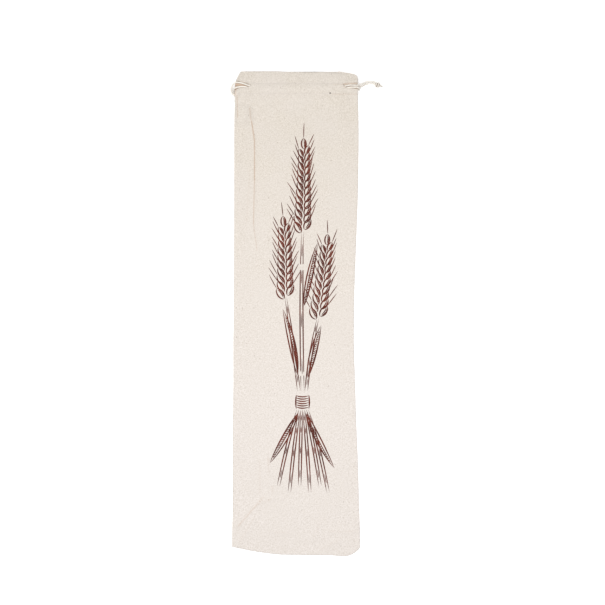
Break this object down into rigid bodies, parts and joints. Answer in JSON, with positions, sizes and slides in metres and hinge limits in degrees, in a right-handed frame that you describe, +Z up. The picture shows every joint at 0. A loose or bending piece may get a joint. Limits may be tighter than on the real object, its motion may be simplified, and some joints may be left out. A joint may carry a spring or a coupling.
{
  "type": "drawstring bread bag",
  "caption": "Long narrow drawstring bread bag of plain linen, empty and lying on its back, with a cord tail out at the right.",
  "frame": {"origin": "on the surface the bag lies on, under the middle of its back", "axes": "+Z up out of the front, +Y towards the mouth, +X to the right of the front"},
  "size_m": [0.2052, 0.66, 0.0132],
  "materials": {
    "linen": "plain woven natural linen with slubs and dark flecks, matt",
    "cotton_cord": "twisted off-white cotton cord, matt"
  },
  "bodies": {
    "root": {"bag_body": "linen", "drawcord_a": "cotton_cord", "knot_a": "cotton_cord", "drawcord_b": "cotton_cord", "knot_b": "cotton_cord"}
  },
  "joints": []
}
